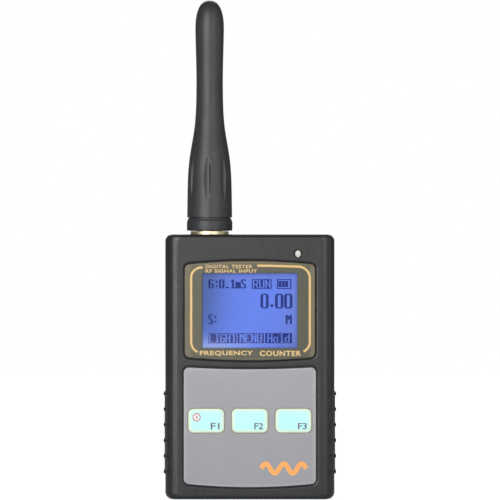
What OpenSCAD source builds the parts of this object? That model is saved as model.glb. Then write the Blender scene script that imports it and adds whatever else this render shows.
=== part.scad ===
// Hand-held frequency counter: a two-shell case with a recessed display and keypad, a sliding battery door,
// and a stub antenna on a bayonet connector. It stands on its bottom end: +Z up, front face towards -Y,
// origin at the centre of the bottom end. Millimetres.

/* [Case] */
// Width of the case, without the grip ribs
case_w = 64; // [60:0.5:70]
// Height of the case, without the antenna
case_h = 100; // [98:0.5:110]
// Depth of the case, front face to back face
case_d = 26; // [26:0.5:32]
// Thickness of the side, top and bottom walls
wall = 2; // [1.8:0.1:2.4]
// Thickness of the front wall
front_wall = 2.2; // [2.1:0.1:2.6]
// Radius of the long front edges
front_round = 5; // [3:0.5:6]
// Radius of the long back edges
back_round = 3; // [2:0.5:3.5]
// Radius of the case's four corners, seen from the front
corner_round = 2.6; // [2.2:0.2:4]
// Radius of the top and bottom edges of both shells
end_round = 1.6; // [1:0.2:1.8]

/* [Grip ribs] */
// Number of ribs on each side
rib_count = 6; // [3:1:7]
// Height of the lowest rib's centre
rib_first_z = 10.2; // [8:0.2:14]
// Distance from rib to rib
rib_pitch = 5.9; // [4:0.1:6.5]
// How far a rib stands out of the side
rib_proud = 0.7; // [0.4:0.05:0.8]
// How far the pad between the ribs stands out of the side
pad_proud = 0.3; // [0.1:0.05:0.35]

/* [Display panel] */
// Width of the recess for the display panel
panel_w = 49.2; // [46:0.2:50]
// Height of the display panel's lower edge, at the middle
panel_bottom = 52.5; // [52:0.1:54]
// Height of the display panel's upper edge, at the middle
panel_top = 89.9; // [89:0.1:91]
// Rise of the upper edge's arc
panel_top_sag = 1.35; // [0.5:0.05:2]
// Drop of the lower edge's arc
panel_bottom_sag = 1.15; // [0.5:0.05:2]
// Width of the visible display
display_w = 35.8; // [30:0.2:36]
// Height of the visible display
display_h = 28.2; // [24:0.2:28.4]
// Height of the display's centre
display_z = 71.2; // [70:0.1:72]

/* [Keypad] */
// Width of the keypad recess
keypad_w = 49.9; // [48:0.1:50]
// Height of the keypad's lower edge, at the middle
keypad_bottom = 4.6; // [4:0.1:6]
// Height of the keypad's upper edge, at the middle
keypad_top = 49.1; // [48:0.1:50]
// Width of a key
key_w = 13.7; // [12:0.1:14]
// Height of a key
key_h = 9.2; // [8:0.1:10]
// Distance from key to key
key_pitch = 16.45; // [16:0.05:17]
// Height of the row of keys
key_z = 29.7; // [26:0.1:32]
// How far a key travels when pressed
key_travel = 0.5; // [0.25:0.05:0.6]

/* [Antenna] */
// Distance of the connector from the middle of the case, to the left
jack_offset = 15.3; // [14:0.1:15.5]
// Height of the antenna above the case
antenna_h = 89; // [84:0.5:120]
// Outer radius of the bayonet ring
bayonet_r = 7.2; // [7.1:0.05:7.3]
// Outer radius of the antenna's skirt at its foot
skirt_r = 8.55; // [8.3:0.05:9]
// Number of flutes round the skirt
flute_count = 8; // [4:1:12]

/* [Battery] */
// Width of the battery pack
battery_w = 34; // [30:0.5:34]
// Height of the battery pack
battery_h = 53; // [48:0.5:53]
// Thickness of the battery pack
battery_t = 5.6; // [4:0.1:5.6]
// Width of the battery door
door_w = 44; // [42:0.5:44]
// Height of the battery door
door_h = 58; // [57.5:0.5:58.5]

/* [Hidden] */
$fn = 48;

eps = 0.01;
big = 400;

case_black = [0.3, 0.3, 0.3];
rubber_black = [0.35, 0.35, 0.35];
part_black = [0.1, 0.1, 0.1];
gold = [0.87, 0.74, 0.45];
steel = [0.7, 0.7, 0.72];
copper = [0.8, 0.45, 0.25];
white_plastic = [0.93, 0.93, 0.9];

// Planes of the case, along Y
front_y = -case_d / 2;
back_y = case_d / 2;
inner_front_y = front_y + front_wall;
inner_back_y = back_y - wall;
recess_y = front_y + 1.1;        // floor of both front recesses
bezel_y = recess_y - 0.6;        // face of the display panel
keypad_y = recess_y - 0.3;       // face of the keypad panel
recess_corner = 1.9;
pad_margin = 0.5;                // from a grip pad's ends to the ends of its ribs
rim_corner = 1.3;                // corner radius of the flat front
rim_steps = 8;
seam_groove = [0.2, 0.3];        // half width and depth of the line between the shells
tongue_h = 1.5;                  // how far the rear shell's tongue enters the front shell
tongue_t = 0.9;

// Screws that hold the shells together
screw_x = case_w / 2 - 5.7;
screw_z = [7, case_h - 7];
boss_r = 3.5;
screw_r = 1.2;
screw_hole_r = 1.4;
screw_head_r = 2.2;
counterbore_r = 2.5;
counterbore_depth = 3;
screw_length = 16;

// Circuit board
pcb_front_y = front_y + 7.8;
pcb_t = 1.6;
pcb_back_y = pcb_front_y + pcb_t;
pcb_w = 45.2;
pcb_z = [5, case_h - 10.6];
screened_x = -pcb_w / 2 + 8.2;   // middle of the screened part of the board
pcb_tab = [-5.4, case_h - 2.6];   // left edge and top of the tab beside the jack
post_x = 20.4;
post_z = [10, 50.4];

// Display module, front to back
lcd_w = 41;
lcd_h = 34.6;
lcd_glass_t = 1.8;
lcd_frame_t = 3.1;
lcd_y = inner_front_y + 0.2;
flex_w = 14;

// Keys and the switches under them
key_round = 2;
key_gap = 0.2;
key_flange = [key_w + 2, key_h + 2, 0.8];
key_flange_y = inner_front_y + 0.1;
plunger_r = 1.7;
plunger_y = key_flange_y + key_flange[2];
switch_size = [6, 3.5, 6];
switch_y = pcb_front_y - switch_size[1];

// Indicator
led_x = 18.15;
led_z = case_h - 7.35;
led_r = 1.5;

// Charging socket
usb_x = 4;
usb_size = [7.7, 9, 3.9];        // width, depth and height
usb_y = pcb_front_y - usb_size[2] / 2;

// Battery bay and door
ledge_y = inner_back_y - 1.2;    // inner face of the ledge under the door
tray_wall = 1.2;
tray_half_w = battery_w / 2 + 0.3;
tray_z = [4.1, 4.1 + battery_h + 1.2];
tray_floor_y = inner_back_y - battery_t - 0.4;
rail_reach = 1.2;                // how far the door's edges reach under the shell
rail_t = 0.85;
door_gap = 0.2;
door_rest_z = 0.3;

// Connector on the case, up its own axis
jack_x = -jack_offset;
flange_r = 7.25;
flange_t = 1.2;
thread_r = 6.2;
jack_hole_r = 6.4;
barrel_r = 4.8;
barrel_bore_r = 4.1;
barrel_top = case_h + 8.4;
gap_floor = case_h + 2.5;        // floor of the slot round the insulator
stud_z = barrel_top - 5.2;
stud_r = 1;
stud_tip_r = 5.5;
insulator_r = 3.1;
contact_r = 1.1;
pin_r = 0.67;

// Bayonet plug at the antenna's foot
ring_bottom = case_h + 1.35;
web_z = [barrel_top + 2.4, barrel_top + 3.6];
ring_top = barrel_top + 4.6;
cover_z = [case_h + 1.45, case_h + 6];
cover_r = 8.65;
lip_r = 8.1;                     // the cover's neck, under the skirt's foot
lip_tongue = [bayonet_r + 0.3, 0.6];   // its tongue inside the skirt: radius and height
skirt_bottom = case_h + 6.5;
skirt_bore_r = bayonet_r + 0.2;
shoulder_z = ring_top + 0.2;
neck_r = 4.25;

// ---------- shared shapes ----------

// A rectangle with a radius of its own at each corner: lower left, lower right, upper right, upper left
module round_rect(lo, hi, r) {
    polygon([
        [lo[0] + r[0], lo[1]], [hi[0] - r[1], lo[1]], [hi[0], lo[1] + r[1]], [hi[0], hi[1] - r[2]],
        [hi[0] - r[2], hi[1]], [lo[0] + r[3], hi[1]], [lo[0], hi[1] - r[3]], [lo[0], lo[1] + r[0]]
    ]);
    translate([lo[0] + r[0], lo[1] + r[0]]) circle(r[0]);
    translate([hi[0] - r[1], lo[1] + r[1]]) circle(r[1]);
    translate([hi[0] - r[2], hi[1] - r[2]]) circle(r[2]);
    translate([lo[0] + r[3], hi[1] - r[3]]) circle(r[3]);
}

// Extrudes a shape drawn in X and Z from y0 to y1
module along_y(y0, y1) {
    translate([0, y1, 0]) rotate([90, 0, 0]) linear_extrude(y1 - y0) children();
}

// Extrudes a shape drawn in Y and Z from x0 to x1
module along_x(x0, x1) {
    translate([x0, 0, 0]) rotate([90, 0, 90]) linear_extrude(x1 - x0) children();
}

// The case's outline from the front, drawn in by some distance
module case_outline(inset) {
    r = max(corner_round - inset, 0.6);
    round_rect([-case_w / 2 + inset, inset], [case_w / 2 - inset, case_h - inset], [r, r, r, r]);
}

// How far an edge of radius r has drawn in, at a depth t behind the face that it rounds into
function drawn_in(r, t) = t < r ? r - sqrt(r * r - (r - t) * (r - t)) : 0;

// One slice of the case from y0 to y1, drawn in at the sides and at the ends
module rim_slice(y0, y1, side, end, r) {
    along_y(y0, y1) round_rect([-case_w / 2 + side, end], [case_w / 2 - side, case_h - end], [r, r, r, r]);
}

// The whole case's outer shape: large radii up the long edges, small ones at both ends, blended at the corners
module case_body() {
    hull() {
        along_y(front_y + front_round, back_y - back_round) case_outline(0);
        for (i = [0 : rim_steps - 1]) {
            a = 90 * i / rim_steps;
            b = 90 * (i + 1) / rim_steps;
            r = rim_corner + (corner_round - rim_corner) * sin(a);
            tf = front_round * (1 - cos(a));
            tb = back_round * (1 - cos(a));
            rim_slice(front_y + tf, front_y + front_round * (1 - cos(b)),
                front_round * (1 - sin(a)), drawn_in(end_round, tf), r);
            rim_slice(back_y - back_round * (1 - cos(b)), back_y - tb,
                back_round * (1 - sin(a)), drawn_in(end_round, tb), r);
        }
    }
}

// The rounded block inside the case, drawn in by a distance at the sides, the front and the back
module case_block(inset, front_inset, back_inset) {
    rf = front_round - inset;
    rb = back_round - inset;
    re = max(end_round - inset, 0.5);
    y0 = front_y + front_inset;
    y1 = back_y - back_inset;
    intersection() {
        along_y(y0, y1) case_outline(inset);
        linear_extrude(case_h)
            round_rect([-case_w / 2 + inset, y0], [case_w / 2 - inset, y1], [rf, rf, rb, rb]);
        along_x(-case_w / 2, case_w / 2)
            round_rect([y0, inset], [y1, case_h - inset], [re, re, re, re]);
    }
}

// One grip rib: straight along the side from y0 to y1, and round the front edge where wrap is true
module grip_rib(z, y0, y1, wrap) {
    turn = 48;
    for (side = [0, 1]) mirror([side, 0, 0]) {
        translate([case_w / 2, y1, z]) rotate([90, 0, 0]) linear_extrude(y1 - y0) rib_profile();
        if (wrap)
            translate([case_w / 2 - front_round, front_y + front_round, z])
                rotate([0, 0, -turn]) rotate_extrude(angle = turn) translate([front_round, 0]) rib_profile();
    }
}

// A rib's cross-section: X out of the side, Y up
module rib_profile() {
    polygon([
        [-0.3, -0.75], [0.1, -0.75], [rib_proud - 0.2, -0.6], [rib_proud, -0.3],
        [rib_proud, 0.3], [rib_proud - 0.2, 0.6], [0.1, 0.75], [-0.3, 0.75]
    ]);
}

// The ribs, and the low pad between them on each side
module grip_ribs(y0, y1, wrap) {
    for (i = [0 : rib_count - 1]) grip_rib(rib_first_z + i * rib_pitch, y0, y1, wrap);
    for (side = [0, 1]) mirror([side, 0, 0])
        translate([case_w / 2 - 0.4, y0 + pad_margin, rib_first_z])
            cube([0.4 + pad_proud, y1 - y0 - 2 * pad_margin, (rib_count - 1) * rib_pitch]);
}

// A cut round the case at the seam, on one side of it
module seam_line(y0, y1) {
    difference() {
        along_y(y0, y1) square([case_w + 20, case_h * 2 + 20], center = true);
        along_y(y0 - 1, y1 + 1) case_outline(seam_groove[1]);
    }
}

module at_case_screws() {
    for (x = [-screw_x, screw_x], z = screw_z) translate([x, 0, z]) children();
}

module at_pcb_posts() {
    for (x = [-post_x, post_x], z = post_z) translate([x, 0, z]) children();
}

// A cylinder along +Y from y0 to y1
module rod_y(r, y0, y1) {
    translate([0, y0, 0]) rotate([-90, 0, 0]) cylinder(r = r, h = y1 - y0);
}

// A cylinder or tube on the connector's axis
module rod_z(r, z0, z1) {
    translate([jack_x, 0, z0]) cylinder(r = r, h = z1 - z0);
}

module tube_z(r_out, r_in, z0, z1) {
    difference() {
        rod_z(r_out, z0, z1);
        rod_z(r_in, z0 - 1, z1 + 1);
    }
}

// ---------- front panels ----------

// Points of an arc over half width w, at height z, with rise sag at the middle (negative for a hollow)
function arc_points(w, z, sag, n = 10) = [for (i = [-n : n]) [w * i / n, z + sag * (1 - pow(i / n, 2))]];

function reversed(list) = [for (i = [len(list) - 1 : -1 : 0]) list[i]];

// A panel with curved upper and lower edges and rounded corners, grown or shrunk by grow
module curved_panel(w, z_top, z_bottom, sag_top, sag_bottom, grow) {
    offset(r = recess_corner + grow) offset(delta = -recess_corner)
        polygon(concat(
            arc_points(w / 2, z_top - sag_top, sag_top),
            reversed(arc_points(w / 2, z_bottom + sag_bottom, -sag_bottom))
        ));
}

module display_panel_shape(grow) {
    curved_panel(panel_w, panel_top, panel_bottom, panel_top_sag, panel_bottom_sag, grow);
}

module keypad_panel_shape(grow) {
    curved_panel(keypad_w, keypad_top, keypad_bottom, -0.75, 1.35, grow);
}

module display_opening(grow) {
    r = 0.6 + grow;
    round_rect([-display_w / 2 - grow, display_z - display_h / 2 - grow],
        [display_w / 2 + grow, display_z + display_h / 2 + grow], [r, r, r, r]);
}

module key_shape(index, grow) {
    r = key_round + grow;
    translate([index * key_pitch, key_z])
        round_rect([-key_w / 2 - grow, -key_h / 2 - grow], [key_w / 2 + grow, key_h / 2 + grow], [r, r, r, r]);
}

// ---------- case ----------

module usb_opening(grow) {
    translate([usb_x, usb_y])
        round_rect([-usb_size[0] / 2 - grow, -usb_size[2] / 2 - grow],
            [usb_size[0] / 2 + grow, usb_size[2] / 2 + grow], [1, 1, 1, 1]);
}

module front_cover() {
    color(case_black)
    difference() {
        union() {
            difference() {
                union() {
                    intersection() {
                        case_body();
                        translate([-big / 2, -big, -big / 2]) cube([big, big, big]);
                    }
                    grip_ribs(front_y + front_round, -seam_groove[0], true);
                }
                case_block(wall, front_wall, wall);
                along_y(-tongue_h - 0.1, 1) case_outline(wall - tongue_t - 0.1);
                seam_line(-seam_groove[0], 1);
            }
            at_case_screws() rod_y(boss_r, inner_front_y - 0.5, 0);
            at_pcb_posts() rod_y(2, inner_front_y - 0.5, pcb_front_y);
        }
        along_y(front_y - 1, recess_y) display_panel_shape(0.15);
        along_y(front_y - 1, recess_y) keypad_panel_shape(0.15);
        along_y(front_y - 1, inner_front_y + 1) display_opening(0.8);
        for (i = [-1 : 1]) along_y(front_y - 1, inner_front_y + 1) key_shape(i, key_gap);
        translate([led_x, 0, led_z]) rod_y(led_r + 0.2, front_y - 1, inner_front_y + 1);
        at_case_screws() rod_y(screw_r + 0.05, front_y + 4, 1);
        at_pcb_posts() rod_y(0.85, inner_front_y + 0.8, 1);
        rod_z(jack_hole_r, case_h - wall - 1, case_h + 1);
        translate([0, 0, case_h - wall - 1]) linear_extrude(wall + 2) usb_opening(0.4);
    }
}

// The opening in the back for the door's face, and the wider channel under its edges
module door_face(grow) {
    translate([-door_w / 2 - grow, 0, -1]) cube([door_w + 2 * grow, big, door_h + 1 + grow]);
}

module rear_cover() {
    color(case_black)
    difference() {
        union() {
            difference() {
                union() {
                    intersection() {
                        case_body();
                        translate([-big / 2, 0, -big / 2]) cube([big, big, big]);
                    }
                    grip_ribs(seam_groove[0], back_y - back_round - 1, false);
                }
                case_block(wall, front_wall, wall);
                seam_line(-1, seam_groove[0]);
            }
            rear_tongue();
            at_case_screws() rod_y(boss_r, 0, back_y - 1);
            intersection() {
                battery_tray_block();
                case_block(0.5, 0, 0.5);
            }
        }
        intersection() {
            translate([0, inner_back_y, 0]) door_face(door_gap);
            translate([-big / 2, 0, -big / 2]) cube([big, big, big]);
        }
        translate([-door_w / 2 - rail_reach - door_gap, inner_back_y, -1])
            cube([door_w + 2 * (rail_reach + door_gap), 1, door_h + 3.2]);
        translate([-tray_half_w, tray_floor_y, tray_z[0]])
            cube([2 * tray_half_w, big, tray_z[1] - tray_z[0]]);
        for (i = [-1 : 1]) translate([i * 6 - 1.4, tray_floor_y + 1, tray_z[1] - 1]) cube([2.8, 3.4, 4]);
        at_case_screws() {
            rod_y(screw_hole_r, -1, back_y + 1);
            rod_y(counterbore_r, back_y - counterbore_depth, back_y + 1);
        }
        along_y(back_y - 0.3, back_y + 1) rating_label_shape(0.2);
        rod_z(jack_hole_r, case_h - wall - 1, case_h + 1);
    }
}

// The tongue round the rear shell's rim, which enters the front shell
module rear_tongue() {
    difference() {
        along_y(-tongue_h, 0.5) case_outline(wall - tongue_t);
        along_y(-tongue_h - 1, 1.5) case_outline(wall);
    }
}

module battery_tray_block() {
    translate([-door_w / 2 - 2, ledge_y, 0]) cube([door_w + 4, inner_back_y - ledge_y, door_h + 3]);
    translate([-tray_half_w - tray_wall, tray_floor_y - tray_wall, tray_z[0] - tray_wall])
        cube([2 * (tray_half_w + tray_wall), inner_back_y - tray_floor_y + tray_wall - 0.5,
            tray_z[1] - tray_z[0] + 2 * tray_wall]);
}

module battery_door() {
    grip_z = 46;
    color(case_black)
    difference() {
        intersection() {
            case_body();
            union() {
                translate([-door_w / 2, inner_back_y + 0.05, door_rest_z])
                    cube([door_w, 4, door_h - door_rest_z]);
                translate([-door_w / 2 - rail_reach, inner_back_y + 0.05, door_rest_z])
                    cube([door_w + 2 * rail_reach, rail_t, door_h + 1.8 - door_rest_z]);
            }
        }
        // thumb grip: five grooves, and an arrow that points down, the way the door slides
        for (i = [0 : 4])
            along_y(back_y - 0.5, back_y + 1) translate([0, grip_z - i * 2.2])
                round_rect([-8, -0.55], [8, 0.55], [0.5, 0.5, 0.5, 0.5]);
        along_y(back_y - 0.4, back_y + 1) polygon([[-3.2, grip_z - 12.6], [3.2, grip_z - 12.6], [0, grip_z - 17.2]]);
    }
}

module case_screw() {
    head_y = back_y - counterbore_depth;
    difference() {
        union() {
            rod_y(screw_head_r, head_y, head_y + 1.5);
            rod_y(screw_r, head_y - screw_length, head_y + eps);
        }
        for (a = [0, 90]) rotate([0, a, 0]) translate([-1.3, head_y + 0.7, -0.3]) cube([2.6, 2, 0.6]);
    }
}

module case_screws() {
    color([0.25, 0.25, 0.26]) at_case_screws() case_screw();
}

module rating_label_shape(grow) {
    translate([0, 77]) round_rect([-19 - grow, -8 - grow], [19 + grow, 8 + grow], [1, 1, 1, 1]);
}

module rating_label() {
    color([0.75, 0.76, 0.78]) along_y(back_y - 0.3, back_y - 0.1) rating_label_shape(0);
}

// ---------- front parts ----------

module display_bezel() {
    color([0.44, 0.44, 0.38])
    difference() {
        along_y(bezel_y, recess_y) display_panel_shape(0);
        along_y(bezel_y - 1, recess_y + 1) display_opening(0);
    }
}

module display_lens() {
    color([0.8, 0.85, 0.9, 0.4]) {
        along_y(bezel_y + 0.05, recess_y) display_opening(-0.05);
        along_y(recess_y, inner_front_y) display_opening(0.7);
    }
}

module keypad_panel() {
    color([0.65, 0.65, 0.67])
    difference() {
        along_y(keypad_y, recess_y) keypad_panel_shape(0);
        for (i = [-1 : 1]) along_y(keypad_y - 1, recess_y + 1) key_shape(i, key_gap);
    }
}

module key(index) {
    color([0.72, 0.98, 0.97]) {
        along_y(front_y, key_flange_y + eps) key_shape(index, 0);
        translate([index * key_pitch - key_flange[0] / 2, key_flange_y, key_z - key_flange[1] / 2])
            cube([key_flange[0], key_flange[2], key_flange[1]]);
    }
}

module switch_plunger(index) {
    color(part_black) translate([index * key_pitch, 0, key_z]) rod_y(plunger_r, plunger_y, switch_y + 0.6);
}

module tact_switch(index) {
    color(part_black) translate([index * key_pitch, 0, key_z])
    difference() {
        union() {
            translate([-switch_size[0] / 2, switch_y, -switch_size[2] / 2]) cube(switch_size);
            for (x = [-1, 1], z = [-2.25, 2.25])
                translate([x * 3.3 - 0.4, pcb_front_y - 1, z - 0.35]) cube([0.8, 1, 0.7]);
        }
        rod_y(plunger_r + 0.1, switch_y - 1, switch_y + 1.3);
    }
}

module indicator_led() {
    color([0.9, 0.9, 0.86]) translate([led_x, 0, led_z]) {
        rod_y(led_r, front_y + 1.6, front_y + 5);
        intersection() {
            translate([0, front_y + 1.6, 0]) sphere(led_r);
            rod_y(led_r + 1, front_y - 1, front_y + 1.7);
        }
        rod_y(led_r + 0.3, front_y + 4, front_y + 5);
        for (x = [-1, 1]) translate([x * 1.27 / 2 - 0.25, front_y + 4.9, -0.25]) cube([0.5, 2.9, 0.5]);
    }
}

// ---------- display module ----------

module lcd_plate(w, h, y0, y1, z = display_z) {
    translate([-w / 2, y0, z - h / 2]) cube([w, y1 - y0, h]);
}

module lcd_glass() {
    color([0.42, 0.51, 0.92]) {
        lcd_plate(lcd_w - 1.6, lcd_h - 1.6, lcd_y + lcd_glass_t / 2, lcd_y + lcd_glass_t);
        lcd_plate(lcd_w - 1.6, lcd_h - 4.6, lcd_y, lcd_y + lcd_glass_t / 2, display_z + 1.5);
    }
}

module lcd_frame() {
    y0 = lcd_y + 0.1;
    y1 = lcd_y + lcd_glass_t + lcd_frame_t;
    color(white_plastic)
    difference() {
        lcd_plate(lcd_w, lcd_h, y0, y1);
        lcd_plate(lcd_w - 1.4, lcd_h - 1.4, y0 - 1, y1 - 0.4);
        translate([-flex_w / 2 - 0.3, y0 - 1, display_z - lcd_h / 2 - 1]) cube([flex_w + 0.6, 2, 2]);
    }
}

module lcd_backlight() {
    y0 = lcd_y + lcd_glass_t + 0.1;
    color([0.85, 0.9, 1]) lcd_plate(lcd_w - 2, lcd_h - 2, y0, y0 + lcd_frame_t - 0.6);
}

// The ribbon from the glass's foot, through the frame's lower wall, to the board
module lcd_flex() {
    foot = display_z - lcd_h / 2;
    y0 = lcd_y + lcd_glass_t / 2;
    color([0.75, 0.5, 0.15])
    along_x(-flex_w / 2, flex_w / 2) polygon([
        [y0 - 0.15, foot + 3], [y0 - 0.15, foot - 0.9], [y0 + 0.15, foot - 1.2],
        [pcb_front_y - 0.6, foot - 1.2], [pcb_front_y - 0.6, foot - 4.5], [pcb_front_y, foot - 4.5],
        [pcb_front_y, foot - 1.05], [y0 + 0.2, foot - 1.05], [y0, foot - 0.85], [y0, foot + 3]
    ]);
}

// ---------- circuit board ----------

module main_pcb() {
    color([0.05, 0.3, 0.12])
    difference() {
        along_y(pcb_front_y, pcb_back_y) polygon([
            [-pcb_w / 2, pcb_z[0]], [pcb_w / 2, pcb_z[0]], [pcb_w / 2, pcb_tab[1]],
            [pcb_tab[0], pcb_tab[1]], [pcb_tab[0], pcb_z[1]], [-pcb_w / 2, pcb_z[1]]
        ]);
        at_pcb_posts() rod_y(1.1, pcb_front_y - 1, pcb_back_y + 1);
    }
}

module pcb_screws() {
    color(steel) at_pcb_posts()
    difference() {
        union() {
            rod_y(1.8, pcb_back_y, pcb_back_y + 1.2);
            rod_y(0.8, pcb_front_y - 3, pcb_back_y + eps);
        }
        for (a = [0, 90]) rotate([0, a, 0]) translate([-1, pcb_back_y + 0.6, -0.2]) cube([2, 2, 0.4]);
    }
}

// A chip on the back of the board, with legs on two or four sides
module chip(x, z, w, h, t, legs, four_sides) {
    pitch = (h - 1) / (legs - 1);
    translate([x, pcb_back_y, z]) {
        translate([-w / 2, 0.1, -h / 2]) cube([w, t, h]);
        for (i = [0 : legs - 1], side = [-1, 1])
            translate([side * (w / 2 + 0.35) - 0.4, 0, -h / 2 + 0.5 + i * pitch - 0.15]) cube([0.8, 0.4, 0.3]);
        if (four_sides)
            for (i = [0 : legs - 1], side = [-1, 1])
                translate([-w / 2 + 0.5 + i * pitch - 0.15, 0, side * (h / 2 + 0.35) - 0.4]) cube([0.3, 0.4, 0.8]);
    }
}

module microcontroller() {
    color(part_black) chip(6, 70.2, 7, 7, 1.4, 8, true);
}

module prescaler_chip() {
    color(part_black) chip(screened_x, 79, 3.9, 4.9, 1.4, 4, false);
}

module reference_oscillator() {
    color([0.75, 0.75, 0.77]) translate([6, 0, 79.5])
        along_y(pcb_back_y, pcb_back_y + 2.4) round_rect([-3.5, -2.5], [3.5, 2.5], [0.6, 0.6, 0.6, 0.6]);
}

module voltage_regulator() {
    color(part_black) chip(18, 82, 3.5, 6.5, 1.6, 3, false);
}

module rf_shield() {
    size = [16, 3.4, 14];
    color(steel) translate([screened_x - size[0] / 2, pcb_back_y, 73])
    difference() {
        cube(size);
        translate([0.3, -1, 0.3]) cube([size[0] - 0.6, size[1] + 0.7, size[2] - 0.6]);
    }
}

module filter_capacitors() {
    color([0.55, 0.42, 0.25]) for (at = [[18, 74], [18, 71], [-3, 83], [-3, 86], [14, 64], [-4.5, 74]])
        translate([at[0] - 0.8, pcb_back_y, at[1] - 0.45]) cube([1.6, 0.9, 0.9]);
}

module charge_socket() {
    depth = usb_size[1];
    color([0.72, 0.72, 0.74]) {
        translate([0, 0, case_h - 0.6 - depth]) difference() {
            linear_extrude(depth) usb_opening(0);
            translate([0, 0, 1.5]) linear_extrude(depth) usb_opening(-0.35);
        }
        translate([usb_x - 2.6, usb_y - 0.9, case_h - depth]) cube([5.2, 0.8, depth - 2.2]);
    }
}

// ---------- battery ----------

module battery_pack() {
    z0 = tray_z[0] + 0.3;
    color([0.12, 0.25, 0.5]) along_y(tray_floor_y + 0.1, tray_floor_y + 0.1 + battery_t)
        round_rect([-battery_w / 2, z0], [battery_w / 2, z0 + battery_h], [1.5, 1.5, 1.5, 1.5]);
}

// Three leaf springs from the board, through the tray's upper wall, to the pack's contacts
module battery_contacts() {
    pack_top = tray_z[0] + 0.3 + battery_h;
    color(gold) for (i = [-1 : 1]) translate([i * 6 - 1, 0, 0])
        along_x(0, 2) polygon([
            [pcb_back_y, pack_top + 6], [pcb_back_y + 0.3, pack_top + 6], [tray_floor_y + 3.2, pack_top + 6],
            [tray_floor_y + 3.6, pack_top + 5.4], [tray_floor_y + 2.6, pack_top], [tray_floor_y + 2.3, pack_top],
            [tray_floor_y + 3.2, pack_top + 5.3], [tray_floor_y + 3, pack_top + 5.7], [pcb_back_y, pack_top + 5.7]
        ]);
}

// ---------- connector on the case ----------

module jack_body() {
    color(gold) {
        difference() {
            union() {
                rod_z(thread_r, case_h - 6.5, case_h + eps);
                rod_z(flange_r, case_h, case_h + flange_t);
                rod_z(barrel_r, case_h, barrel_top);
                for (a = [0, 180]) translate([jack_x, 0, stud_z]) rotate([0, 90, a]) cylinder(r = stud_r, h = stud_tip_r);
            }
            rod_z(barrel_bore_r, gap_floor, barrel_top + 1);
            rod_z(insulator_r, case_h - 8, barrel_top + 1);
        }
    }
}

module jack_insulator() {
    color(white_plastic) tube_z(insulator_r, contact_r, case_h - 7, barrel_top - 1);
}

module jack_contact() {
    color(gold) difference() {
        union() {
            rod_z(contact_r, case_h - 7, barrel_top - 1.2);
            rod_z(0.5, case_h - 9.5, case_h - 6.9);
        }
        rod_z(pin_r + 0.05, case_h + 1, barrel_top);
    }
}

module jack_nut() {
    color(gold) difference() {
        translate([jack_x, 0, case_h - wall - 3]) rotate([0, 0, 30]) cylinder(d = 14 / cos(30), h = 2.4, $fn = 6);
        rod_z(thread_r + 0.05, case_h - 8, case_h);
    }
}

module jack_lock_washer() {
    color(steel) tube_z(7.4, thread_r + 0.1, case_h - wall - 0.6, case_h - wall);
}

// The wire from the jack's centre contact, forward and down the back of the board
module rf_lead() {
    wire_r = 0.4;
    top = case_h - 9.5;
    y = pcb_back_y + wire_r;
    color(copper) translate([jack_x, 0, top - wire_r]) {
        cylinder(r = wire_r, h = wire_r);
        sphere(wire_r);
        rod_y(wire_r, y, 0);
        translate([0, y, 0]) sphere(wire_r);
        translate([0, y, -2.4]) cylinder(r = wire_r, h = 2.4);
    }
}

// ---------- bayonet plug and antenna ----------

module bayonet_spring_washer() {
    color(steel) tube_z(5.55, neck_r + 0.15, web_z[0] - 0.75, web_z[0] - 0.05);
}

module bayonet_ring() {
    color(gold) difference() {
        rod_z(bayonet_r, ring_bottom, ring_top);
        rod_z(stud_tip_r + 0.25, ring_bottom - 1, web_z[0]);
        rod_z(neck_r + 0.15, ring_bottom, ring_top + 1);
        rod_z(6.3, web_z[1], ring_top + 1);
    }
}

module collar_cover() {
    color(rubber_black) translate([jack_x, 0, 0])
    rotate_extrude() polygon([
        [bayonet_r, cover_z[0]], [cover_r - 0.25, cover_z[0]], [cover_r, cover_z[0] + 0.25],
        [cover_r, cover_z[1] - 1.4], [cover_r - 0.12, cover_z[1] - 0.8], [lip_r, cover_z[1]],
        [lip_r, skirt_bottom - 0.1], [lip_tongue[0], skirt_bottom - 0.1],
        [lip_tongue[0], skirt_bottom + lip_tongue[1]], [bayonet_r, skirt_bottom + lip_tongue[1]]
    ]);
}

module plug_body() {
    flange_z = [barrel_top + 0.6, barrel_top + 1.6];
    color(gold) difference() {
        union() {
            rod_z(barrel_bore_r - 0.05, barrel_top - 4.8, flange_z[0] + eps);
            rod_z(5.6, flange_z[0], flange_z[1]);
            rod_z(neck_r, flange_z[1] - eps, shoulder_z);
            rod_z(6, shoulder_z, shoulder_z + 1.8);
            rod_z(3.6, shoulder_z, shoulder_z + 8);
        }
        rod_z(insulator_r + 0.2, barrel_top - 5, flange_z[0]);
        rod_z(2.2, barrel_top - 5, shoulder_z + 9);
    }
}

module plug_insulator() {
    color(white_plastic) tube_z(2.2, pin_r, barrel_top + 0.6, shoulder_z + 8);
}

module plug_pin() {
    color(gold) rod_z(pin_r, barrel_top - 4.6, shoulder_z + 8.5);
}

module plug_gasket() {
    color([0.8, 0.35, 0.2]) tube_z(barrel_r - 0.05, barrel_bore_r + 0.05, barrel_top + 0.05, barrel_top + 0.6);
}

// The sheath's outline: height above the case as a share of the antenna's, and radius as a share of the skirt's
sheath_curve = [
    [(skirt_bottom - case_h) / antenna_h, 1.000], [0.130, 0.992], [0.190, 0.982], [0.240, 0.968], [0.285, 0.938],
    [0.330, 0.888], [0.375, 0.813], [0.420, 0.731], [0.465, 0.665], [0.515, 0.621], [0.575, 0.598], [0.650, 0.589],
    [0.720, 0.598], [0.790, 0.616], [0.860, 0.635]
];
tip_start = 0.877;               // where the rounded tip begins, and its radius
tip_share = 0.636;
tip_power = 2.4;                 // 2 would be an ellipse
flute_turn = 40;

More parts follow.
